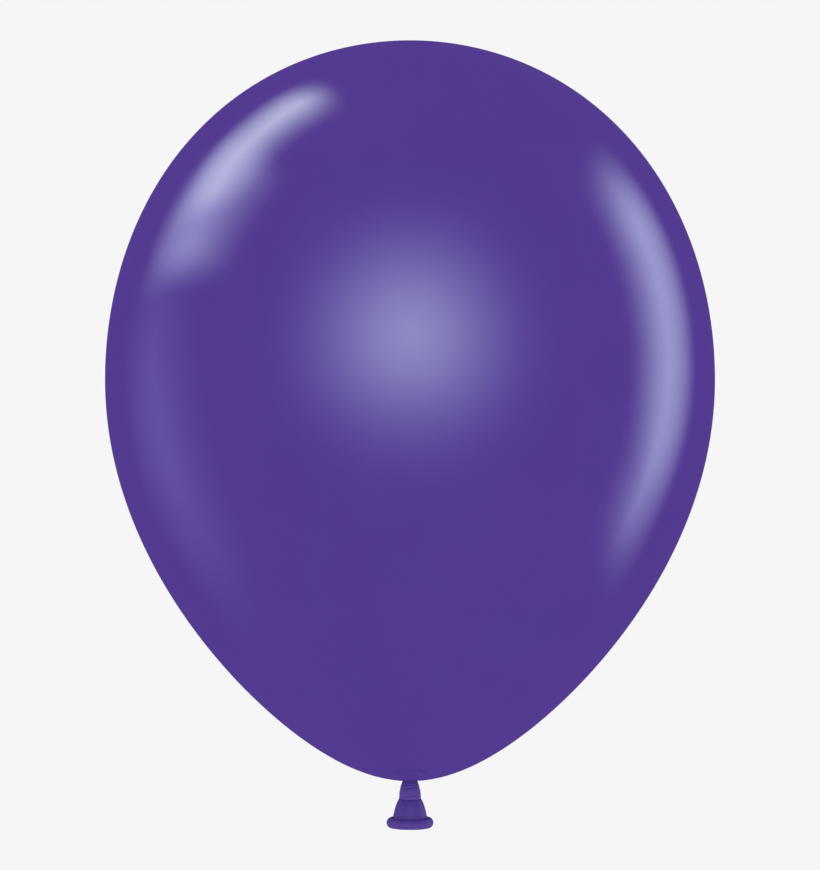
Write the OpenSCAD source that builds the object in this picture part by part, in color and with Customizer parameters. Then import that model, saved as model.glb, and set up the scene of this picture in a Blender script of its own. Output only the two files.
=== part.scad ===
// Latex party balloon, blown up and tied.
// Millimetres, +Z up towards the crown. The origin is on the axis in the throat, level with the
// lowest point of the body, where a ribbon is tied round the neck.
// The whole balloon is one dipped film. Each solid here is a region of it that moves by itself, or
// that was formed by itself: the blown body, the gathered neck, the knot's inner strand and its
// wrapped turn, the flared tail, and the rolled lip round the tail's mouth.

/* [Body] */
// Width across the widest place
body_d = 304.8; // [240:0.2:380]
// Height of the crown above the widest place
crown_h = 169.3; // [130:0.1:230]
// Depth of the throat below the widest place
taper_h = 201.1; // [150:0.1:260]
// How much fuller than an ellipse the upper half is
crown_fullness = 0.09; // [-0.4:0.01:0.6]
// How much fuller than an ellipse the lower half is (below zero it is more tapered)
taper_fullness = -0.47; // [-0.75:0.01:0.3]
// Thickness of the film of the body and of the gathers
film = 0.3; // [0.3:0.05:0.8]

/* [Neck] */
// Radius of the ring of gathered skin round the throat
gather_r = 9; // [6:0.1:16]
// Radius of the neck's rounded end, on which the knot tilts
neck_ball_r = 3.3; // [2.4:0.1:4.5]

/* [Knot] */
// Height of the knot
knot_h = 7.5; // [5:0.1:12]
// Wall of the inner strand round the neck's end
strand_wall = 0.7; // [0.4:0.1:1.5]
// Thickness of the wrapped turn at its upper edge
turn_edge = 0.2; // [0.2:0.05:1]
// Thickness of the wrapped turn at its lower edge
turn_thick = 1.35; // [0.8:0.05:3]
// Radius of the strand's rounded lower end, on which the tail bends
tail_ball_r = 3.6; // [2.4:0.1:4.5]

/* [Tail] */
// Length of the tail, from the knot to the hem
tail_len = 9.2; // [7:0.1:20]
// Radius of the tail at its hem
hem_r = 8.6; // [6.5:0.1:12]
// Thickness of the tail's film
tail_film = 0.5; // [0.4:0.05:1]
// Thickness of the gathered latex that closes the top of the tail
plug_thick = 0.7; // [0.4:0.1:1.5]

/* [Lip] */
// Width across the rolled lip
lip_d = 23.6; // [20:0.1:28]
// Thickness of the rolled bead
bead_d = 4.4; // [3:0.1:6]
// Width of the open mouth inside the lip
mouth_d = 16; // [14:0.1:17]

/* [Motion] */
// Tilt of the knot on the neck, to each side, in degrees
knot_tilt = 20; // [10:1:30]
// Bend of the tail on the knot, to each side, in degrees
tail_bend = 20; // [10:1:30]
// Distance of the lip's pivot below the knot
lip_pivot = 4.5; // [3:0.1:8]
// Clearance round the ring of gathers and round the lip
film_gap = 0.3; // [0.25:0.05:0.6]
// Clearance between a rounded end and its seat
seat_gap = 0.2; // [0.15:0.05:0.4]

/* [Hidden] */
$fn = 96;

// Number of steps along each half of the body's outline, and along each short outline
BODY_STEPS = 44;
SHORT_STEPS = 10;
// Height of the knot's upper rim above the pivot in the neck's end
RIM_RISE = 0.4;
// How quickly the tail widens: 1 is a straight cone, less widens soonest at the knot
TAIL_FLARE = 0.7;
LATEX = "rebeccapurple";

// The pivot of the knot is deep enough for the knot's rim to stay clear of the body at full tilt.
strand_r = neck_ball_r + seat_gap + strand_wall;
rim_r = strand_r + turn_edge;
neck_pivot_z = -(rim_r * sin(knot_tilt) + RIM_RISE * cos(knot_tilt) + film_gap);
knot_top_z = neck_pivot_z + RIM_RISE;
// The tail turns about the middle of the knot's lower face, and starts low enough to clear it.
knot_r = strand_r + turn_thick;
knot_bottom_z = knot_top_z - knot_h;
tail_top_z = knot_bottom_z - knot_r * tan(tail_bend) - seat_gap;
hem_z = knot_bottom_z - tail_len;
// The hem's edge lies on a sphere round the lip's pivot, and the bead runs just outside that sphere.
lip_pivot_z = knot_bottom_z - lip_pivot;
bead_r = bead_d / 2;
ring_r = lip_d / 2 - bead_r;
hem_reach = norm([hem_r, lip_pivot_z - hem_z]);
lip_z = lip_pivot_z - sqrt((hem_reach + film_gap + bead_r) ^ 2 - ring_r ^ 2);

// One half of the body's outline, from the widest place to the axis, at z = sin(a) * height. The
// radius is an ellipse's, cos(a) * radius, times a swelling that is 1 at the widest place.
function half_outline(radius, height, fullness) = [
    for (i = [0:BODY_STEPS]) let (a = 90 * i / BODY_STEPS)
        [radius * cos(a) * sqrt(1 + fullness * sin(a) ^ 2), height * sin(a)]
];

// The whole outline of the body, drawn in by a depth, from the crown down to the throat.
function body_outline(depth) = let (
    upper = half_outline(body_d / 2 - depth, crown_h - depth, crown_fullness),
    lower = half_outline(body_d / 2 - depth, taper_h - depth, taper_fullness)
) concat(
    [for (i = [BODY_STEPS:-1:0]) [upper[i].x, taper_h + upper[i].y]],
    [for (i = [1:BODY_STEPS]) [lower[i].x, taper_h - lower[i].y]]
);

// The tail's radius at a height, widening from the knot to the hem.
function tail_r(z) = knot_r + (hem_r - knot_r) * ((knot_bottom_z - z) / tail_len) ^ TAIL_FLARE;

// The cross-section of the body's film, from the crown down to the axis at the throat.
module film_section() {
    difference() {
        polygon(body_outline(0));
        polygon(body_outline(film));
    }
}

module envelope() {
    color(LATEX) rotate_extrude() difference() {
        film_section();
        square([gather_r + film_gap, taper_h]);
    }
}

// The ring of gathers closes the bottom of the body, and the neck's rounded end hangs from it.
module neck() {
    color(LATEX) {
        rotate_extrude() intersection() {
            film_section();
            square([gather_r, taper_h]);
        }
        intersection() {
            translate([0, 0, neck_pivot_z]) sphere(neck_ball_r);
            translate([0, 0, -2 * neck_ball_r + film / 2]) cylinder(r = 2 * neck_ball_r, h = 2 * neck_ball_r);
        }
    }
}

// The strand through the knot: a seat for the neck's end above, and a rounded end for the tail below.
module knot_strand() {
    color(LATEX) difference() {
        translate([0, 0, knot_bottom_z]) union() {
            cylinder(r = strand_r, h = knot_h);
            rotate_extrude() intersection() {
                circle(tail_ball_r);
                translate([0, -tail_ball_r]) square(tail_ball_r);
            }
        }
        translate([0, 0, neck_pivot_z]) sphere(neck_ball_r + seat_gap);
    }
}

// The turn that the neck was wrapped in, thickening downwards round the strand.
module knot_turn() {
    color(LATEX) rotate_extrude() polygon(concat(
        [[strand_r, knot_bottom_z], [strand_r, knot_top_z]],
        [for (i = [0:SHORT_STEPS]) let (u = i / SHORT_STEPS)
            [rim_r + (knot_r - rim_r) * sin(90 * u), knot_top_z - knot_h * u]]
    ));
}

// The tail: an open skirt, closed at the top by gathered latex with a seat for the strand's end.
module tail() {
    plug_z = knot_bottom_z - tail_ball_r - seat_gap - plug_thick;
    color(LATEX) difference() {
        rotate_extrude() polygon(concat(
            [[0, tail_top_z]],
            [for (i = [0:SHORT_STEPS]) let (z = tail_top_z + (hem_z - tail_top_z) * i / SHORT_STEPS)
                [tail_r(z), z]],
            [for (i = [0:SHORT_STEPS]) let (z = hem_z + (plug_z - hem_z) * i / SHORT_STEPS)
                [tail_r(z) - tail_film, z]],
            [[0, plug_z]]
        ));
        translate([0, 0, knot_bottom_z]) sphere(tail_ball_r + seat_gap);
    }
}

// The rolled lip: a round bead, worn flat inside round the mouth.
module rolled_lip() {
    color(LATEX) rotate_extrude() difference() {
        translate([ring_r, lip_z]) circle(bead_r);
        translate([0, lip_z - bead_d]) square([mouth_d / 2, 2 * bead_d]);
    }
}

envelope();
neck();
knot_strand();
knot_turn();
tail();
rolled_lip();
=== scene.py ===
"""A latex party balloon, blown up and tied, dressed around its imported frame.

The balloon is one dipped film of purple latex. The frame holds six regions of that film as plain
solids, and each class below puts the real surface in the place of one or two of them:

    Body    the blown skin, which falls into pleats where it draws in to the throat
    Throat  the gathered neck, between the body and the knot
    Knot    the strand through the knot, and the turn that is wrapped round it
    Tail    the skirt below the knot, which is gathered shut inside, and its hem
    Lip     the rolled bead round the mouth

Every surface is a grid. A row of it runs once round the balloon's axis and a column runs along the
outline, so a shape is two arrays, the radius and the height of each point. Metres, +Z up.
"""

import logging
from dataclasses import dataclass
from enum import Enum
from typing import Any

import bpy
import numpy as np
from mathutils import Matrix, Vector


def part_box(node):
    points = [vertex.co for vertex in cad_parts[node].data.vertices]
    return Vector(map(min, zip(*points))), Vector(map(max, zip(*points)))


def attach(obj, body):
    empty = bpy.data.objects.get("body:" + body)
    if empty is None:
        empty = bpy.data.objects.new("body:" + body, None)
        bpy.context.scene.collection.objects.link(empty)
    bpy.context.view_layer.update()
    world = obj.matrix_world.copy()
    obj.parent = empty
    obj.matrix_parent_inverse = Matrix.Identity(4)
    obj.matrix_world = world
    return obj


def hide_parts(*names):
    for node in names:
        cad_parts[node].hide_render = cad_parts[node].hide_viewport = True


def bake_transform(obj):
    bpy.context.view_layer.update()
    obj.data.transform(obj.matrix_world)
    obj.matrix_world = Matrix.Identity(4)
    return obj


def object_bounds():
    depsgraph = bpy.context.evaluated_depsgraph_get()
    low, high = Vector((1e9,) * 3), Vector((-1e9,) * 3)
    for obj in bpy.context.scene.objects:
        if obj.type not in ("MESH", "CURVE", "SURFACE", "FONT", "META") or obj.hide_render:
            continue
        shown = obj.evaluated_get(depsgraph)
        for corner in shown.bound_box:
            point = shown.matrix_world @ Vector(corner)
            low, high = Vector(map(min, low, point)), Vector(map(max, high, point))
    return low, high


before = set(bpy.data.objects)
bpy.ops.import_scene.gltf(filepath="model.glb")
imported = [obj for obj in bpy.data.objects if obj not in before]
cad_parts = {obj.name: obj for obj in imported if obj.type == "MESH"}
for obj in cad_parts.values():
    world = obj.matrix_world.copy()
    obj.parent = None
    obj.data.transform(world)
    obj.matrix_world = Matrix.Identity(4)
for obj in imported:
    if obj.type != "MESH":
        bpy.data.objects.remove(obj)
CAD_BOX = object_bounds()

LOG = logging.getLogger("balloon")
MM = 0.001
FULL_TURN = 2 * np.pi
QUARTER_TURN = np.pi / 2
LATEX_IOR = 1.5

Colour = tuple[float, float, float]
Line = tuple[np.ndarray, np.ndarray]


# ---------------------------------------------------------------- shader maths


class Term:
    """A number in a shader: arithmetic on it adds the Math node that works it out."""

    def __init__(self, graph: "Graph", socket: bpy.types.NodeSocket) -> None:
        """Wraps an output socket of a graph."""
        self.graph = graph
        self.socket = socket

    def math(self, operation: str, first: Any, second: Any = 0.0) -> "Term":
        """A Math node on two numbers, either of which may be a Term."""
        return self.graph.term("ShaderNodeMath", {"operation": operation}, {0: first, 1: second})

    def __add__(self, other: Any) -> "Term":
        """self + other."""
        return self.math("ADD", self, other)

    def __radd__(self, other: Any) -> "Term":
        """other + self."""
        return self.math("ADD", other, self)

    def __sub__(self, other: Any) -> "Term":
        """self - other."""
        return self.math("SUBTRACT", self, other)

    def __rsub__(self, other: Any) -> "Term":
        """other - self."""
        return self.math("SUBTRACT", other, self)

    def __mul__(self, other: Any) -> "Term":
        """self * other."""
        return self.math("MULTIPLY", self, other)

    def __rmul__(self, other: Any) -> "Term":
        """other * self."""
        return self.math("MULTIPLY", other, self)

    def __truediv__(self, other: Any) -> "Term":
        """self / other."""
        return self.math("DIVIDE", self, other)

    def __rtruediv__(self, other: Any) -> "Term":
        """other / self."""
        return self.math("DIVIDE", other, self)

    def __pow__(self, other: Any) -> "Term":
        """self ** other."""
        return self.math("POWER", self, other)

    def __gt__(self, other: Any) -> "Term":
        """1 where self is greater than other, and 0 elsewhere."""
        return self.math("GREATER_THAN", self, other)

    def __abs__(self) -> "Term":
        """The size of self, without its sign."""
        return self.math("ABSOLUTE", self)


class Graph:
    """The node tree of one material, or of the world."""

    def __init__(self, owner: bpy.types.Material | bpy.types.World) -> None:
        """Starts an empty tree.

        Args:
            owner: the material or world that the nodes belong to.
        """
        owner.use_nodes = True
        self.tree = owner.node_tree
        self.tree.nodes.clear()

    def node(self, kind: str, settings: dict[str, Any], inputs: dict[Any, Any]) -> bpy.types.Node:
        """Adds one node.

        Args:
            kind: the node's type.
            settings: its own settings, which are set first.
            inputs: the value or the link of each socket, by name or by place.

        Returns:
            The node.
        """
        made = self.tree.nodes.new(kind)
        for name, value in settings.items():
            setattr(made, name, value)
        for name, value in inputs.items():
            source = value.socket if isinstance(value, Term) else value
            if isinstance(source, bpy.types.NodeSocket):
                self.tree.links.new(source, made.inputs[name])
            else:
                made.inputs[name].default_value = source
        return made

    def term(
        self, kind: str, settings: dict[str, Any], inputs: dict[Any, Any], output: Any = 0
    ) -> Term:
        """Adds one node and returns one of its outputs as a Term."""
        return Term(self, self.node(kind, settings, inputs).outputs[output])

    def ease(self, value: Term, start: float, end: float) -> Term:
        """A smooth step from 0, where value is start or less, to 1, where it is end or more."""
        settings = {"interpolation_type": "SMOOTHSTEP"}
        return self.term("ShaderNodeMapRange", settings, {0: value, 1: start, 2: end, 3: 0.0, 4: 1.0})

    def blend(self, factor: Any, first: Any, second: Any) -> Term:
        """The colour that goes from first to second as factor goes from 0 to 1."""
        inputs = {0: factor, 6: opaque(first), 7: opaque(second)}
        return self.term("ShaderNodeMix", {"data_type": "RGBA"}, inputs, 2)

    def dot(self, vector: Term, axis: Vector) -> Term:
        """How far a vector reaches along an axis."""
        return self.term("ShaderNodeVectorMath", {"operation": "DOT_PRODUCT"}, {0: vector, 1: axis}, 1)

    def scaled(self, vector: Any, factor: Any) -> Term:
        """A vector or colour times a number."""
        return self.term("ShaderNodeVectorMath", {"operation": "SCALE"}, {0: vector, 3: factor})

    def plus(self, first: Any, second: Any) -> Term:
        """The sum of two vectors or colours."""
        return self.term("ShaderNodeVectorMath", {"operation": "ADD"}, {0: first, 1: second})

    def stretched(self, vector: Term, factors: Colour) -> Term:
        """A vector with each of its parts times its own factor."""
        return self.term("ShaderNodeVectorMath", {"operation": "MULTIPLY"}, {0: vector, 1: factors})

    def noise(self, vector: Term, scale: float, detail: float) -> Term:
        """Soft noise from 0 to 1, with scale features to each unit of the vector."""
        inputs = {"Vector": vector, "Scale": scale, "Detail": detail, "Roughness": 0.55}
        return self.term("ShaderNodeTexNoise", {}, inputs)


def opaque(colour: Any) -> Any:
    """A plain colour with the alpha that a colour socket takes, or a Term as it is."""
    return (*colour, 1.0) if isinstance(colour, tuple) else colour


# ---------------------------------------------------------------- finishes


class Slot(Enum):
    """The record's material slots."""

    FILM = "latex_film"
    GATHERED = "latex_gathered"


@dataclass(frozen=True)
class Latex:
    """Dyed latex film, as a finish.

    Attributes:
        name: the material's name.
        colour: its colour where the film is blown out thin. On the gathered latex it is also lightened
            above deep, as painted fill light for the neck and knot, which lie in shade.
        deep: its colour where the film is drawn in and thick.
        sheen: the roughness of its cleanest and of its dustiest places.
        mottle: how far the dye's strength wanders, as a share.
        ripple: the depth of the slow waves that are left from dipping.
        grain: the depth of the skin's own fine grain.
        grain_size: the distance from one grain to the next.
        creases: the depth of the small wrinkles that run along the film.
        gloss: the strength of its reflections, where 1 is polished by stretching and less is powdered.
        matt: how much rougher it is where the film is fully drawn in.
    """

    name: str
    colour: Colour
    deep: Colour
    sheen: tuple[float, float]
    mottle: float
    ripple: float
    grain: float
    grain_size: float
    creases: float
    gloss: float
    matt: float = 0.0

    def make(self) -> bpy.types.Material:
        """Makes the material.

        The dye is deeper where the surface is drawn in, clouds slowly over 40 mm, runs in faint
        streaks down the film, and is finely speckled. On the gathered neck and knot its lighter
        colour is painted fill light. Dust and handling cloud the gloss in patches.

        Returns:
            The material, which reads the attributes that Skin.build gives every piece.
        """
        material = bpy.data.materials.new(self.name)
        graph = Graph(material)
        place = graph.term("ShaderNodeAttribute", {"attribute_name": "place"}, {}, "Vector")
        along = graph.term("ShaderNodeAttribute", {"attribute_name": "along"}, {}, "Vector")
        drawn = graph.term("ShaderNodeAttribute", {"attribute_name": "drawn"}, {}, "Fac")

        clouds = graph.noise(place, 25.0, 2.0)
        streaks = graph.noise(graph.stretched(along, (7.0, 7.0, 9.0)), 1.0, 3.0)
        specks = graph.noise(place, 1400.0, 1.0)
        dye = 1.0 + ((clouds - 0.5) + (streaks - 0.5) * 0.8 + (specks - 0.5) * 0.5) * (2 * self.mottle)
        colour = graph.scaled(graph.blend(drawn, self.colour, self.deep), dye)

        dust = graph.ease(graph.noise(place, 18.0, 4.0), 0.35, 0.75)
        clean, dusty = self.sheen
        roughness = clean + dust * (dusty - clean) + graph.ease(drawn, 0.75, 1.0) * self.matt

        waves = graph.noise(place, 60.0, 1.0) * self.ripple
        grain = graph.noise(place, 1.0 / self.grain_size, 2.0) * self.grain
        folds = graph.noise(graph.stretched(along, (9.0, 9.0, 250.0)), 1.0, 2.0) * self.creases
        bump = graph.term("ShaderNodeBump", {}, {
            "Strength": 1.0, "Distance": 1.0, "Height": waves + grain + folds,
        })
        shader = graph.node("ShaderNodeBsdfPrincipled", {}, {
            "Base Color": colour, "Roughness": roughness, "Normal": bump,
            "IOR": LATEX_IOR, "Specular IOR Level": self.gloss,
        })
        graph.node("ShaderNodeOutputMaterial", {}, {"Surface": shader.outputs[0]})
        return material


BLOWN = Latex(
    "latex_blown",
    colour=(0.0860, 0.0412, 0.286),
    deep=(0.0765, 0.0368, 0.255),
    sheen=(0.07, 0.12),
    mottle=0.03,
    ripple=0.012 * MM,
    grain=0.003 * MM,
    grain_size=0.45 * MM,
    creases=0.0,
    gloss=1.0,
    matt=0.45,
)
GATHERED = Latex(
    "latex_gathered",
    # colour is lighter than deep and than the blown film: partly the latex's own colour, partly painted
    # fill light for the neck and knot, which lie in shade under the body and in the wraps. The tail and
    # lip take deep.
    colour=(0.110, 0.0490, 0.360),
    deep=(0.087, 0.0380, 0.303),
    sheen=(0.52, 0.66),
    mottle=0.05,
    ripple=0.03 * MM,
    grain=0.012 * MM,
    grain_size=0.30 * MM,
    creases=0.04 * MM,
    gloss=0.35,
)


# ---------------------------------------------------------------- surfaces


class Ends(Enum):
    """How a grid's first and last rows are closed."""

    POLES = "each shrinks to its own point on the axis"
    RING = "the last row joins the first"


@dataclass(frozen=True)
class Skin:
    """A closed surface round the balloon's axis.

    Attributes:
        radius: the radius of each point, rows by columns. Rows go down the outside and then up the
            inside, which turns every face outwards.
        height: the height of each point, rows by columns.
        drawn: how thick and unstretched the film is at each row, from 0 to 1. On the neck and knot
        it is a low value that gives them the lighter colour, as painted fill light.
        ends: how the first and last rows are closed.
        poles: the heights of the first and last points, where the ends are poles.
    """

    radius: np.ndarray
    height: np.ndarray
    drawn: np.ndarray
    ends: Ends
    poles: tuple[float, float] = (0.0, 0.0)

    def points(self) -> np.ndarray:
        """Works out every point: (radius cos angle, radius sin angle, height).

        Returns:
            The points, row by row, and then the two poles where the ends are poles.
        """
        angle = angles(self.radius.shape[1])
        grid = np.stack([self.radius * np.cos(angle), self.radius * np.sin(angle), self.height], axis=2)
        ends = [[0.0, 0.0, height] for height in self.poles] if self.ends is Ends.POLES else []
        return np.concatenate([grid.reshape(-1, 3), np.array(ends).reshape(-1, 3)])

    def faces(self) -> list[list[int]]:
        """The faces, as lists of point numbers.

        Returns:
            A four-sided face between each point, the next in its column and their neighbours in the
            next column, and a fan of triangles round each pole.
        """
        rows, columns = self.radius.shape
        here = np.arange(rows * columns).reshape(rows, columns)
        below, beside = np.roll(here, -1, axis=0), np.roll(here, -1, axis=1)
        quads = np.stack([here, below, np.roll(below, -1, axis=1), beside], axis=2)
        if self.ends is Ends.RING:
            return quads.reshape(-1, 4).tolist()
        first = np.full(columns, rows * columns)
        upper_fan = np.stack([first, here[0], beside[0]], axis=1)
        lower_fan = np.stack([first + 1, beside[-1], here[-1]], axis=1)
        return quads[:-1].reshape(-1, 4).tolist() + upper_fan.tolist() + lower_fan.tolist()

    def build(self, name: str, material: bpy.types.Material) -> bpy.types.Object:
        """Makes the piece.

        Its mesh gets three attributes that stay with the surface when a joint moves it. place is
        where each point is at rest. along is (cos angle, sin angle, distance down the outline in
        metres), which has no seam. drawn is how thick the film is, and on the neck and knot a low
        value that gives them the lighter colour, as painted fill light.

        Args:
            name: the piece's name.
            material: its finish.

        Returns:
            The piece, linked to the scene.
        """
        points = self.points()
        mesh = bpy.data.meshes.new(name)
        mesh.from_pydata(points, [], self.faces())
        mesh.shade_smooth()

        rows, columns = self.radius.shape
        middle = np.stack([self.radius.mean(axis=1), self.height.mean(axis=1)], axis=1)
        steps = np.linalg.norm(np.diff(middle, axis=0), axis=1)
        distance = np.concatenate([[0.0], np.cumsum(steps)])
        angle = angles(columns)
        along = np.stack(np.broadcast_arrays(np.cos(angle), np.sin(angle), distance[:, None]), axis=2)
        pole_count = len(points) - rows * columns
        poles = np.array([[0.0, 0.0, distance[0]], [0.0, 0.0, distance[-1]]])[:pole_count]
        thick = np.concatenate([np.repeat(self.drawn, columns), self.drawn[[0, -1]][:len(poles)]])
        set_attribute(mesh, "place", points)
        set_attribute(mesh, "along", np.concatenate([along.reshape(-1, 3), poles]))
        set_attribute(mesh, "drawn", thick)

        mesh.materials.append(material)
        piece = bpy.data.objects.new(name, mesh)
        bpy.context.scene.collection.objects.link(piece)
        LOG.info("%s: %d points, %d faces", name, len(mesh.vertices), len(mesh.polygons))
        return piece


def angles(columns: int) -> np.ndarray:
    """The angle of each column, over one full turn."""
    return np.linspace(0, FULL_TURN, columns, endpoint=False)


def nearest_turn(angle: np.ndarray) -> np.ndarray:
    """The same angle, brought between minus half a turn and half a turn."""
    return np.angle(np.exp(1j * angle))


def set_attribute(mesh: bpy.types.Mesh, name: str, values: np.ndarray) -> None:
    """Gives each point of a mesh a number or a vector.

    Args:
        mesh: the mesh.
        name: the attribute's name.
        values: one number for each point, or three in a row.
    """
    is_vector = values.ndim == 2
    made = mesh.attributes.new(name, "FLOAT_VECTOR" if is_vector else "FLOAT", "POINT")
    made.data.foreach_set("vector" if is_vector else "value", values.astype(np.float32).ravel())


def ease(value: np.ndarray, start: float, end: float) -> np.ndarray:
    """A smooth step from 0, where value is start or less, to 1, where it is end or more."""
    share = np.clip((value - start) / (end - start), 0, 1)
    return share * share * (3 - 2 * share)


def joined(*lines: Line) -> Line:
    """One outline that runs through several, in order."""
    return np.concatenate([line[0] for line in lines]), np.concatenate([line[1] for line in lines])


def corner_points(*points: tuple[float, float]) -> Line:
    """An outline through a few (radius, height) points, given in millimetres."""
    radius, height = np.array(points).T * MM
    return radius, height


@dataclass(frozen=True)
class Gathers:
    """The folds that drawn-in film falls into.

    A fold's phase is count times the angle, plus sways that make the folds uneven. The crease is
    1 - |sin(phase / 2)|, so it is a sharp valley between round ridges.

    Attributes:
        count: the number of folds in one turn.
        sways: (waves in a turn, size, shift) of each sway.
        swell: (waves in a turn, share, shift) of how the depth varies from fold to fold.
    """

    count: int
    sways: tuple[tuple[int, float, float], ...]
    swell: tuple[int, float, float]

    def crease(self, angle: np.ndarray) -> np.ndarray:
        """How deep in a crease each angle is.

        Args:
            angle: the angles round the axis.

        Returns:
            The depth at each angle, from 0 on a ridge to 1 in a valley.
        """
        sways = sum(size * np.sin(waves * angle + shift) for waves, size, shift in self.sways)
        phase = self.count * angle + sways
        waves, share, shift = self.swell
        depth = 1 - share * (0.5 + 0.5 * np.sin(waves * angle + shift))
        return (1 - np.abs(np.sin(phase / 2))) * depth


NECK_GATHERS = Gathers(13, ((2, 0.9, 1.3), (3, 0.6, 4.0)), (5, 0.5, 0.8))
TAIL_GATHERS = Gathers(10, ((2, 0.8, 0.4), (3, 0.5, 2.2)), (3, 0.4, 1.9))

# How far the neck and knot lean to the gathered latex's deep colour. It is kept low, so they take its
# # lighter colour: painted fill light that makes up for the shade under the body and in the wraps.
PAINTED_FILL_DRAWN = 0.1

# How far the wrapped turn stands out beyond the frame's.
TURN_PROUD = 0.01 * MM


@dataclass(frozen=True)
class Pear:
    """The outline that the neck and the knot share, widening downwards from the throat.

    Attributes:
        bottom: its radius at the foot of the knot.
        top: its radius at the throat.
        depth: the depth of the foot below the throat.
        roundness: the power of the widening. Less is fuller just below the throat.
    """

    bottom: float
    top: float = 3.3 * MM
    depth: float = 9.4 * MM
    roundness: float = 0.6

    def radius(self, depth: np.ndarray) -> np.ndarray:
        """Its radius at a depth: top + (bottom - top) * sin(90 degrees * share) ** roundness."""
        share = np.clip(depth / self.depth, 0, 1)
        return self.top + (self.bottom - self.top) * np.sin(QUARTER_TURN * share) ** self.roundness


# ---------------------------------------------------------------- the balloon


def swelling(angle: np.ndarray, fullness: float) -> np.ndarray:
    """The share of the full radius at an angle a from the widest place.

    It is cos a * sqrt(1 + fullness * sin a squared).

    Args:
        angle: the angles from the widest place.
        fullness: how much fuller than an ellipse the outline is.

    Returns:
        The share at each angle.
    """
    return np.cos(angle) * np.sqrt(1 + fullness * np.sin(angle) ** 2)


def angle_at(share: np.ndarray, fullness: float) -> np.ndarray:
    """The angle at which swelling is a given share.

    The square c of its cosine solves -fullness c c + (1 + fullness) c - share share = 0.

    Args:
        share: the shares of the full radius.
        fullness: how much fuller than an ellipse the outline is.

    Returns:
        The angle from the widest place, for each share.
    """
    linear = 1 + fullness
    square = (np.sqrt(linear ** 2 - 4 * fullness * share ** 2) - linear) / (-2 * fullness)
    return np.arccos(np.sqrt(square))


@dataclass
class Body:
    """The blown skin of the balloon.

    Attributes:
        widest_z: the height of the widest place.
        crown_fullness: how much fuller than an ellipse the upper half is.
        taper_fullness: how much fuller than an ellipse the lower half is.
        film: the thickness of the film.
        collar_r: the radius at which the skin turns down into the neck.
        pleat_reach: the radius out to which the skin is pleated.
        pleat_depth: the depth of the pleats at the throat.
        drawn_length: how far from the collar the skin stays thick: its thickness falls off by e.
        tip_r: the radius of the thicker patch at the crown.
        tip_share: how thick the middle of that patch is, from 0 to 1.
        outer_rows: the rows of the outer face, above the widest place, below it and over the pleats.
        inner_rows: the same for the inner face.
        columns: the points in one turn.
    """

    widest_z: float = 201.1 * MM
    crown_fullness: float = 0.09
    taper_fullness: float = -0.47
    film: float = 0.3 * MM
    collar_r: float = 3.5 * MM
    pleat_reach: float = 22 * MM
    pleat_depth: float = 0.45 * MM
    drawn_length: float = 8 * MM
    tip_r: float = 9 * MM
    tip_share: float = 0.7
    outer_rows: tuple[int, int, int] = (84, 100, 46)
    inner_rows: tuple[int, int, int] = (24, 30, 20)
    columns: int = 264

    def __post_init__(self) -> None:
        """Takes the widest radius and the crown's height from the frame."""
        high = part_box("envelope")[1]
        self.radius = high.x
        self.crown_z = high.z

    def side(self, depth: float, rows: tuple[int, int, int]) -> Line:
        """One side of the film, from the crown down to the collar.

        Args:
            depth: how far the side is drawn in from the outer face.
            rows: the rows above the widest place, from there to the pleats, and over the pleats.

        Returns:
            The radius and the height of each row.
        """
        upper_rows, lower_rows, pleat_rows = rows
        radius = self.radius - depth
        upper = np.linspace(QUARTER_TURN, 0, upper_rows + 1)[1:]
        pleat_r = np.linspace(self.pleat_reach, self.collar_r, pleat_rows)
        pleats = angle_at(pleat_r / radius, self.taper_fullness)
        lower = np.concatenate([np.linspace(0, pleats[0], lower_rows + 1)[1:-1], pleats])
        crown = (self.crown_z - self.widest_z - depth) * np.sin(upper)
        taper = (self.widest_z - depth) * np.sin(lower)
        shares = [swelling(upper, self.crown_fullness), swelling(lower, self.taper_fullness)]
        return radius * np.concatenate(shares), self.widest_z + np.concatenate([crown, -taper])

    def build(self, finish: bpy.types.Material) -> None:
        """Makes the skin: down the outer face, round the collar, and up the inner face.

        A pleat lifts the skin by its depth times (1 - radius / reach) squared, times the crease.

        Args:
            finish: its material.
        """
        outer = self.side(0.0, self.outer_rows)
        inner_radius, inner_height = self.side(self.film, self.inner_rows)
        collar = corner_points(
            (3.46, -0.05), (3.42, -0.18), (3.30, -0.28), (3.15, -0.28), (3.10, -0.10), (3.2, 0.2)
        )
        radius, height = joined(outer, collar, (inner_radius[::-1], inner_height[::-1]))
        is_lower = height < self.widest_z
        lift = self.pleat_depth * (np.clip(1 - radius / self.pleat_reach, 0, 1) * is_lower) ** 2
        lift[len(outer[0]):len(outer[0]) + len(collar[0])] = 0.0
        creases = NECK_GATHERS.crease(angles(self.columns))
        drawn = np.exp(-np.maximum(radius - self.collar_r, 0) / self.drawn_length) * is_lower
        tip = self.tip_share * np.exp(-(radius / self.tip_r) ** 2) * (height > self.widest_z)
        skin = Skin(
            np.repeat(radius[:, None], self.columns, axis=1),
            height[:, None] + lift[:, None] * creases,
            drawn + tip,
            Ends.POLES,
            (self.crown_z, self.crown_z - self.film),
        )
        piece = skin.build("envelope_skin", finish)
        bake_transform(piece)
        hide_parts("envelope")


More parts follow.
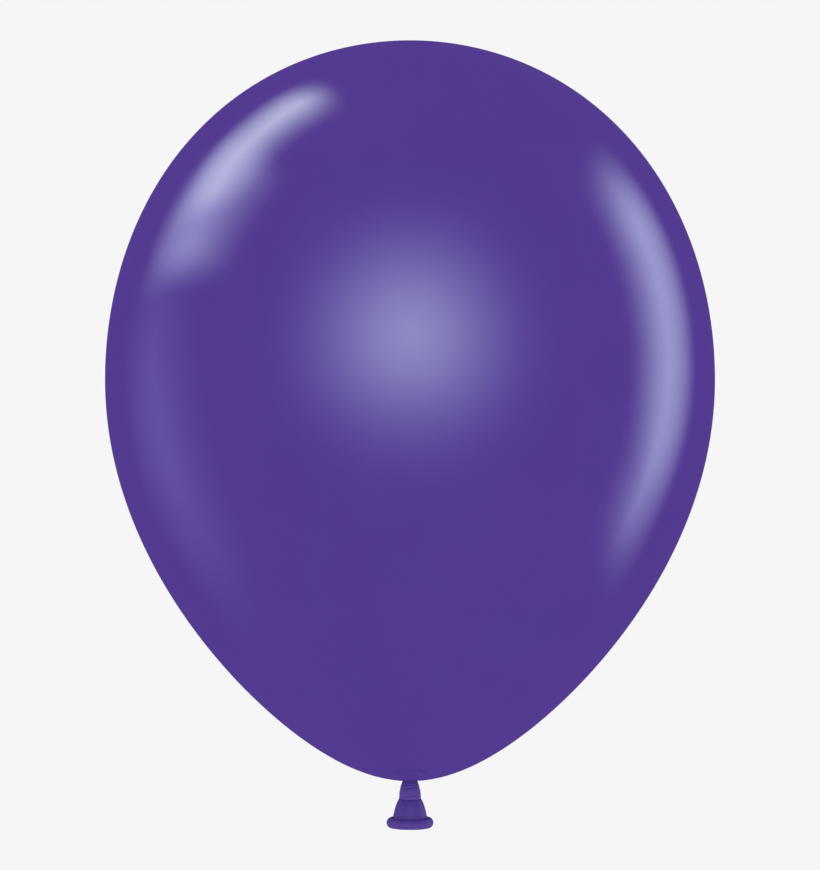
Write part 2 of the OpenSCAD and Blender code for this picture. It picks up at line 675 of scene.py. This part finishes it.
@dataclass
class Throat:
    """The gathered neck, which hangs from the body and goes down into the knot.

    Attributes:
        crease_depth: the depth of its folds.
        tuck: how far its lower end draws in under the knot's rim.
        waist: how far its side draws in just above the knot's rim.
        twist: how far its folds lean round the axis on their way down, in radians.
        rows: the rows of its side.
        columns: the points in one turn.
    """

    crease_depth: float = 0.26 * MM
    tuck: float = 0.75 * MM
    waist: float = 0.15 * MM
    twist: float = 0.10
    rows: int = 28
    columns: int = 208

    def build(self, pear: Pear, finish: bpy.types.Material) -> None:
        """Makes the neck: a closed bundle whose side follows the pear and whose ends are hidden.

        The side draws in a little before the knot's rim and then tucks under it. The folds start
        just below the body's collar and are shallower by 0.6 of their depth at the rim.

        Args:
            pear: the outline that it shares with the knot.
            finish: its material.
        """
        depth = np.linspace(0.1, 2.6, self.rows) * MM
        waist = self.waist * ease(depth, 1.4 * MM, 1.8 * MM)
        under = waist + self.tuck * ease(depth, 1.8 * MM, 2.6 * MM)
        head = corner_points((1.2, 0.55), (2.2, 0.45), (2.8, 0.25), (3.1, 0.05))
        foot = corner_points((3.2, -2.9), (2.6, -3.4), (1.4, -3.55))
        radius, height = joined(head, (pear.radius(depth) - under, -depth), foot)
        shallower = 1 - 0.6 * ease(-height, 0.6 * MM, 2.2 * MM)
        fold = self.crease_depth * ease(-height, -0.4 * MM, 0.3 * MM) * shallower
        lean = angles(self.columns)[None, :] + self.twist * ease(-height, 0.0, 2.4 * MM)[:, None]
        skin = Skin(
            radius[:, None] - fold[:, None] * NECK_GATHERS.crease(lean),
            np.repeat(height[:, None], self.columns, axis=1),
            np.full(len(radius), PAINTED_FILL_DRAWN),
            Ends.POLES,
            (0.6 * MM, -3.6 * MM),
        )
        piece = skin.build("neck_gather", finish)
        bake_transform(piece)
        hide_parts("neck")


@dataclass(frozen=True)
class Wrap:
    """An edge of the wrapped turn, where one layer of the neck lies over another.

    The edge runs round the knot at depth + swing * sin(angle + shift), and the surface falls into
    a groove along it.

    Attributes:
        depth: its middle's depth below the throat.
        swing: how far it runs down and up from there.
        shift: where round the knot it does so, in radians.
        groove: the depth of the groove.
        width: the distance over which the groove falls off by e.
    """

    depth: float
    swing: float
    shift: float
    groove: float
    width: float

    def fall(self, angle: np.ndarray, depth: np.ndarray) -> np.ndarray:
        """How far the surface lies below the pear: groove * exp(-(distance / width) squared).

        Args:
            angle: the angle round the axis.
            depth: the depth below the throat.

        Returns:
            The fall at each angle and depth.
        """
        distance = depth - (self.depth + self.swing * np.sin(angle + self.shift))
        return self.groove * np.exp(-(distance / self.width) ** 2)


@dataclass
class Knot:
    """The knot: the neck's strand through it, and the turn that is wrapped round the strand.

    Attributes:
        rim_depth: the depth of the turn's upper edge below the throat.
        rim_turn: how far the turn's upper edge is rounded in.
        bore_r: the radius of the hole that the strand fills.
        strand_r: the radius of the strand, which clears the bore.
        wraps: the edges that show on the turn.
        pucker: the depth of the turn's small wrinkles.
        strand_lobes: the depth of the strand's folds.
        side_rows: the rows of the turn's outer face.
        bore_rows: the rows of its bore.
        strand_rows: the rows of the strand's side.
        columns: the points in one turn.
    """

    rim_depth: float = 1.8 * MM
    rim_turn: float = 0.40 * MM
    bore_r: float = 3.4 * MM
    strand_r: float = 3.3 * MM
    wraps: tuple[Wrap, ...] = (
        Wrap(4.3 * MM, 1.3 * MM, -0.5, 0.26 * MM, 0.30 * MM),
        Wrap(6.7 * MM, -1.1 * MM, 0.7, 0.22 * MM, 0.26 * MM),
    )
    pucker: float = 0.05 * MM
    strand_lobes: float = 0.35 * MM
    side_rows: int = 64
    bore_rows: int = 10
    strand_rows: int = 30
    columns: int = 240

    def __post_init__(self) -> None:
        """Takes the foot of the knot from the frame."""
        self.foot_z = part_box("knot_turn")[0].z

    def build_turn(self, pear: Pear, finish: bpy.types.Material) -> None:
        """Makes the turn: down its outer face, round its foot, up its bore and over its rim.

        The pucker is a sine of 24 waves a turn that slants and sways, with a slow swell over it.

        Args:
            pear: the outline that it shares with the neck.
            finish: its material.
        """
        angle = angles(self.columns)[None, :]
        depth = np.linspace(self.rim_depth, -self.foot_z - 0.25 * MM, self.side_rows)
        rim = self.rim_turn * (1 - ease(depth, self.rim_depth, self.rim_depth + 0.5 * MM))
        side = (pear.radius(depth) - rim, -depth)
        foot = corner_points((5.47, -9.17), (5.30, -9.27), (4.9, -9.32), (4.2, -9.32), (3.6, -9.2))
        bore_z = np.linspace(-9.0, -2.2, self.bore_rows) * MM
        top = corner_points((3.5, -1.98), (3.7, -1.85), (3.85, -1.80))
        radius, height = joined(side, foot, (np.full(len(bore_z), self.bore_r), bore_z), top)
        shown = np.zeros(len(radius))
        shown[:len(depth)] = ease(depth, self.rim_depth, self.rim_depth + 1.2 * MM)
        fall = sum(wrap.fall(angle, -height[:, None]) for wrap in self.wraps)
        slant = 24 * angle - height[:, None] / MM * 1.1 + 1.5 * np.sin(3 * angle + 0.6)
        pucker = self.pucker * np.sin(slant) * (0.6 + 0.4 * np.sin(2 * angle + height[:, None] / MM))
        skin = Skin(
            radius[:, None] - shown[:, None] * (fall + self.pucker + pucker),
            np.repeat(height[:, None], self.columns, axis=1),
            np.full(len(radius), PAINTED_FILL_DRAWN),
            Ends.RING,
        )
        self.fasten(skin.build("knot_turn_wrap", finish), "knot_turn")

    def build_strand(self, finish: bpy.types.Material) -> None:
        """Makes the strand: a lobed bundle that fills the turn's bore.

        Args:
            finish: its material.
        """
        height = np.linspace(-3.9, -8.9, self.strand_rows) * MM
        head = corner_points((1.2, -3.62), (2.2, -3.66), (2.9, -3.75))
        foot = corner_points((2.9, -9.1), (2.2, -9.2), (1.2, -9.25))
        radius, height = joined(head, (np.full(len(height), self.strand_r), height), foot)
        lobes = NECK_GATHERS.crease(angles(self.columns)[None, :] + 90 * height[:, None])
        skin = Skin(
            radius[:, None] * (1 - self.strand_lobes / self.bore_r * lobes),
            np.repeat(height[:, None], self.columns, axis=1),
            np.full(len(radius), PAINTED_FILL_DRAWN),
            Ends.POLES,
            (-3.6 * MM, -9.27 * MM),
        )
        self.fasten(skin.build("knot_strand_bundle", finish), "knot_strand")

    def fasten(self, piece: bpy.types.Object, node: str) -> None:
        """Lets a piece ride on the knot.

        Args:
            piece: the piece.
            node: the frame's node whose place it takes.
        """
        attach(piece, "knot")
        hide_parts(node)


@dataclass
class Tail:
    """The tail below the knot, in two pieces that meet in the middle.

    Attributes:
        flare: how quickly it widens. 1 is a straight cone, and less widens soonest at the knot.
        film: the thickness of its film.
        seam_drop: the depth of the seam between the two pieces, below the knot.
        seam_edge: the width of the narrow row beside the seam, which keeps the seam from showing.
        fold_depths: the depth of its folds at the knot and at the hem.
        closure: how far above the seam the film is gathered shut inside.
        star: how much deeper the folds are where it is gathered shut.
        skirt_rows: the rows of the upper piece's outer face.
        closure_rows: the rows inside it.
        hem_rows: the rows of each face of the lower piece.
        columns: the points in one turn.
    """

    flare: float = 0.7
    film: float = 0.45 * MM
    seam_drop: float = 4.6 * MM
    seam_edge: float = 0.02 * MM
    fold_depths: tuple[float, float] = (0.38 * MM, 0.12 * MM)
    closure: float = 2.7 * MM
    star: float = 5.0
    skirt_rows: int = 40
    closure_rows: int = 26
    hem_rows: int = 34
    columns: int = 240

    def __post_init__(self) -> None:
        """Takes the tail's ends from the frame."""
        turn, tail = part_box("knot_turn"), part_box("tail")
        self.top_z, self.top_r = turn[0].z, turn[1].x
        self.hem_z, self.hem_r = tail[0].z, tail[1].x
        self.seam_z = self.top_z - self.seam_drop

    def radius(self, height: np.ndarray) -> np.ndarray:
        """The outer radius, which widens by the power flare of the share of the length.

        The middle is fuller by half a sine wave, half as deep as the folds, which makes up for them.

        Args:
            height: the heights.

        Returns:
            The radius at each height, before its folds.
        """
        share = np.clip((self.top_z - height) / (self.top_z - self.hem_z), 0, 1)
        fuller = 0.5 * self.fold_depths[0] * np.sin(np.pi * share)
        return self.top_r + (self.hem_r - self.top_r) * share ** self.flare + fuller

    def folds(self, height: np.ndarray) -> np.ndarray:
        """How far the folds draw the film in. They run on through the seam.

        Args:
            height: the height of each row.

        Returns:
            The depth, rows by columns.
        """
        start, end = self.fold_depths
        depth = start + (end - start) * ease(-height, -self.top_z, -self.hem_z)
        return depth[:, None] * TAIL_GATHERS.crease(angles(self.columns))

    def build_skirt(self, finish: bpy.types.Material) -> None:
        """Makes the upper piece: down its outer face, and up inside to where it is gathered shut.

        Inside, the radius closes as the square root of 1 - share squared, and the folds grow into a
        star round the middle.

        Args:
            finish: its material.
        """
        tucked = corner_points((2.6, -8.75), (4.3, -8.82), (5.0, -9.0), (5.38, -9.25))
        upper_z = np.linspace(self.top_z - 0.1 * MM, self.seam_z + self.seam_edge, self.skirt_rows)
        outer_z = np.append(upper_z, self.seam_z)
        share = np.linspace(0, 0.985, self.closure_rows)
        inner_z = self.seam_z + share * self.closure
        inner_r = (self.radius(np.array([self.seam_z]))[0] - self.film) * np.sqrt(1 - share ** 2)
        radius, height = joined(tucked, (self.radius(outer_z), outer_z), (inner_r, inner_z))
        fold = self.folds(height)
        star = 1 + self.star * ease(share, 0.0, 0.8) * np.sqrt(1 - share ** 2)
        fold[-len(share):] *= star[:, None]
        skin = Skin(
            radius[:, None] - fold,
            np.repeat(height[:, None], self.columns, axis=1),
            np.ones(len(radius)),
            Ends.POLES,
            (-8.72 * MM, self.seam_z + self.closure + 0.05 * MM),
        )
        piece = skin.build("tail_skirt", finish)
        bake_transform(piece)

    def build_hem(self, finish: bpy.types.Material) -> None:
        """Makes the lower piece: a thin ring of film whose lower edge runs into the rolled lip.

        Args:
            finish: its material.
        """
        lower_z = np.linspace(self.seam_z - self.seam_edge, self.hem_z, self.hem_rows)
        outer_z = np.append(self.seam_z, lower_z)
        inner_z = outer_z[::-1]
        tucked = corner_points(
            (8.72, -18.9), (8.85, -19.4), (9.1, -20.1), (9.0, -20.4), (8.6, -20.2), (8.35, -19.4)
        )
        radius, height = joined(
            (self.radius(outer_z), outer_z), tucked, (self.radius(inner_z) - self.film, inner_z)
        )
        skin = Skin(
            radius[:, None] - self.folds(height),
            np.repeat(height[:, None], self.columns, axis=1),
            np.ones(len(radius)),
            Ends.RING,
        )
        piece = skin.build("tail_hem", finish)
        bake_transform(piece)
        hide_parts("tail")


@dataclass
class Lip:
    """The rolled bead round the mouth: the dipped film rolled up on itself.

    Attributes:
        mouth_r: the radius of the mouth.
        rise: how far the roll stands above the frame's plain round bead.
        roll_lines: (place round the bead, sway, depth) of each line where a layer of the roll ends.
        line_width: the width of those lines, in radians round the bead.
        unevenness: how far the bead's thickness wanders, as a share.
        columns: the points in one turn.
        rows: the points round the bead.
    """

    mouth_r: float = 8.0 * MM
    rise: float = 0.7 * MM
    roll_lines: tuple[tuple[float, float, float], ...] = (
        (0.62, 0.06, 0.14 * MM),
        (2.5, -0.12, 0.10 * MM),
        (4.1, 0.08, 0.12 * MM),
        (5.6, 0.10, 0.12 * MM),
    )
    line_width: float = 0.08
    unevenness: float = 0.018
    columns: int = 320
    rows: int = 120

    def __post_init__(self) -> None:
        """Takes the bead's size and place from the frame."""
        low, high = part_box("rolled_lip")
        self.bead_r = (high.z - low.z) / 2
        self.ring_r = high.x - self.bead_r
        self.half_height = self.bead_r + self.rise / 2
        self.height = low.z + self.half_height

    def groove(self, round_bead: np.ndarray, turn: np.ndarray) -> np.ndarray:
        """How deep the roll lines cut, each by depth * exp(-(distance / width) squared).

        Args:
            round_bead: the angle round the bead, one for each row.
            turn: the angle round the mouth, one for each column.

        Returns:
            The depth, rows by columns.
        """
        depths = np.zeros((self.rows, self.columns))
        for place, sway, depth in self.roll_lines:
            distance = nearest_turn(round_bead - place - sway * np.sin(2 * turn + place))
            depths = depths + depth * np.exp(-(distance / self.line_width) ** 2)
        return depths

    def build(self, finish: bpy.types.Material) -> None:
        """Makes the bead: a tall oval outside, and flatter inside where the mouth wears it.

        Its thickness wanders in waves of 3 and 7 to a turn.

        Args:
            finish: its material.
        """
        turn = angles(self.columns)[None, :]
        round_bead = QUARTER_TURN - angles(self.rows)[:, None]
        across, up = np.cos(round_bead), np.sin(round_bead)
        waves = np.sin(3 * turn + 0.5) * across + 0.5 * np.sin(7 * turn)
        wander = 1 - self.unevenness * (1 + waves)
        groove = self.groove(round_bead, turn)
        reach = np.where(across > 0, self.bead_r, self.ring_r - self.mouth_r)
        skin = Skin(
            self.ring_r + across * (reach * wander - groove),
            self.height + up * (self.half_height * wander - groove),
            np.ones(self.rows),
            Ends.RING,
        )
        piece = skin.build("rolled_lip_bead", finish)
        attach(piece, "lip")
        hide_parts("rolled_lip")


# ---------------------------------------------------------------- the studio


# The least that a direction counts as facing a light, which keeps a division from reaching zero.
LEAST_FACING = 0.02


class Falloff(Enum):
    """How a light's brightness falls off from its middle."""

    PANEL = "even, with soft edges"
    GLOW = "brightest in the middle"


@dataclass(frozen=True)
class SoftBox:
    """One light of the studio, far off in a direction, as the balloon's gloss sees it.

    Attributes:
        azimuth: its direction from the camera's side, in degrees, positive to the camera's right.
        elevation: its height above the horizon, in degrees.
        roll: its turn about its own middle, in degrees.
        half_size: half its width and height, as tangents of the angle from its middle.
        softness: half the width of its soft edges, likewise. A glow has the power of its falloff.
        colour: its colour times its brightness.
        falloff: how it falls off.
        hides: whether it stands in front of the lights before it and hides them, or adds to them.
    """

    azimuth: float
    elevation: float
    roll: float
    half_size: tuple[float, float]
    softness: tuple[float, float]
    colour: Colour
    falloff: Falloff = Falloff.PANEL
    hides: bool = False

    def over(self, graph: Graph, behind: Any, direction: Term) -> Term:
        """The light that comes from a direction, with this soft box in front of the rest.

        Args:
            graph: the world's graph.
            behind: the colour of the light from the rest.
            direction: the direction looked in.

        Returns:
            The colour of the light.
        """
        share = self.share(graph, direction)
        rest = graph.scaled(behind, 1 - share) if self.hides else behind
        return graph.plus(rest, graph.scaled(self.colour, share))

    def share(self, graph: Graph, direction: Term) -> Term:
        """How bright the soft box is in a direction, as a share of its full brightness.

        Args:
            graph: the world's graph.
            direction: the direction looked in.

        Returns:
            The share, from 0 to 1.
        """
        side, rise, turn = np.radians([self.azimuth, self.elevation, self.roll])
        middle = Vector((np.sin(side) * np.cos(rise), -np.cos(side) * np.cos(rise), np.sin(rise)))
        level = Vector((np.cos(side), np.sin(side), 0.0))
        upright = Vector((-np.sin(side) * np.sin(rise), np.cos(side) * np.sin(rise), np.cos(rise)))
        width_axis = level * np.cos(turn) + upright * np.sin(turn)
        height_axis = upright * np.cos(turn) - level * np.sin(turn)
        facing = graph.dot(direction, middle)
        ahead = facing.math("MAXIMUM", facing, LEAST_FACING)
        across = abs(graph.dot(direction, width_axis)) / ahead
        up = abs(graph.dot(direction, height_axis)) / ahead
        (half_width, half_height), (soft_width, soft_height) = self.half_size, self.softness
        if self.falloff is Falloff.PANEL:
            edge = graph.ease(across, half_width - soft_width, half_width + soft_width)
            end = graph.ease(up, half_height - soft_height, half_height + soft_height)
            share = (1 - edge) * (1 - end)
        else:
            distance = ((across / half_width) ** 2 + (up / half_height) ** 2) ** (soft_width / 2)
            share = distance.math("EXPONENT", distance * -1)
        return share * (facing > 0.0)


@dataclass
class Studio:
    """The floor, the light and the camera.

    The balloon hangs high over a pale floor in even light. Its gloss sees the soft boxes, and its
    colour sees the even light.

    Attributes:
        backdrop: the brightness of the pale floor and backdrop.
        fill: the even light.
        room: what the gloss sees between the soft boxes.
        boxes: the soft boxes.
        floor_drop: the floor's depth below the balloon's throat.
        floor_size: the floor's width.
        camera_distance: the camera's distance from the balloon's axis.
        view_height: the height of the view at the balloon.
        camera_rise: the camera's height above the balloon's middle.
        sensor: the sensor's longer side, in millimetres.
    """

    backdrop: float = 0.9216
    fill: float = 1.0
    room: Colour = (0.088, 0.048, 0.27)
    boxes: tuple[SoftBox, ...] = (
        SoftBox(0, 12, 0, (0.5, 0.4), (1.6, 1.6), (2.2, 2.7, 2.6), Falloff.GLOW),
        SoftBox(0, 12, 0, (1.0, 0.8), (2.0, 2.0), (0.1, 0.0, 0.6), Falloff.GLOW),
        SoftBox(112, 11, -10, (0.20, 0.45), (0.25, 0.20), (1.9, 2.2, 2.7)),
        SoftBox(108, -20, 0, (0.05, 0.15), (0.35, 0.15), (2.1, 2.4, 3.3)),
        SoftBox(-107, -10, 10, (0.20, 0.40), (0.35, 0.45), (0.45, 0.40, 0.90)),
        SoftBox(-107, 34, -75, (0.25, 0.25), (0.10, 0.30), (1.6, 1.8, 2.4)),
        SoftBox(-121, 47, -50, (0.30, 0.12), (0.10, 0.25), (3.6, 4.0, 4.4), hides=True),
    )
    floor_drop: float = 2.4
    floor_size: float = 160.0
    camera_distance: float = 1.5
    view_height: float = 0.4369
    camera_rise: float = 0.1 * MM
    sensor: float = 36.0

    def build(self) -> None:
        """Makes the world's light, the floor and the camera."""
        bpy.context.scene.view_settings.view_transform = "Standard"
        self.build_light()
        self.build_floor()
        self.build_camera()

    def build_light(self) -> None:
        """Makes the world: the backdrop, the even light and the soft boxes, each to its own rays."""
        world = bpy.data.worlds.new("studio")
        bpy.context.scene.world = world
        world.cycles.sampling_method = "NONE"
        graph = Graph(world)
        direction = graph.term("ShaderNodeTexCoord", {}, {}, "Generated")
        gloss: Any = self.room
        for box in self.boxes:
            gloss = box.over(graph, gloss, direction)
        rays = graph.node("ShaderNodeLightPath", {}, {})
        even = graph.blend(rays.outputs["Is Diffuse Ray"], gloss, (self.fill,) * 3)
        seen = graph.blend(rays.outputs["Is Camera Ray"], even, (self.backdrop,) * 3)
        light = graph.node("ShaderNodeBackground", {}, {"Color": seen, "Strength": 1.0})
        graph.node("ShaderNodeOutputWorld", {}, {"Surface": light.outputs[0]})

    def build_floor(self) -> None:
        """Makes the pale floor, which neither tints the balloon nor shows in its gloss."""
        half, height = self.floor_size / 2, -self.floor_drop
        sides = [(-half, -half), (half, -half), (half, half), (-half, half)]
        mesh = bpy.data.meshes.new("floor")
        mesh.from_pydata([(*side, height) for side in sides], [], [(0, 1, 2, 3)])
        floor = bpy.data.objects.new("floor", mesh)
        bpy.context.scene.collection.objects.link(floor)
        floor.visible_diffuse = False
        floor.visible_glossy = False
        material = bpy.data.materials.new("pale_floor")
        graph = Graph(material)
        shader = graph.node("ShaderNodeBsdfDiffuse", {}, {"Color": opaque((self.backdrop,) * 3)})
        graph.node("ShaderNodeOutputMaterial", {}, {"Surface": shader.outputs[0]})
        mesh.materials.append(material)

    def build_camera(self) -> None:
        """Makes the camera, level with the middle of the balloon and straight in front of it."""
        low, high = CAD_BOX
        data = bpy.data.cameras.new("camera")
        data.sensor_width = self.sensor
        data.lens = self.sensor * self.camera_distance / self.view_height
        data.clip_end = self.floor_size
        camera = bpy.data.objects.new("camera", data)
        camera.location = (0.0, -self.camera_distance, (low.z + high.z) / 2 + self.camera_rise)
        camera.rotation_euler = (QUARTER_TURN, 0.0, 0.0)
        bpy.context.scene.collection.objects.link(camera)
        bpy.context.scene.camera = camera


def main() -> None:
    """Builds the studio and then the balloon, from the top down."""
    logging.basicConfig(level=logging.INFO, format="%(name)s: %(message)s")
    Studio().build()
    blown, gathered = BLOWN.make(), GATHERED.make()
    pear = Pear(bottom=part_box("knot_turn")[1].x + TURN_PROUD)
    Body().build(blown)
    Throat().build(pear, gathered)
    knot = Knot()
    knot.build_turn(pear, gathered)
    knot.build_strand(gathered)
    tail = Tail()
    tail.build_skirt(gathered)
    tail.build_hem(gathered)
    Lip().build(gathered)


if __name__ == "__main__":
    main()
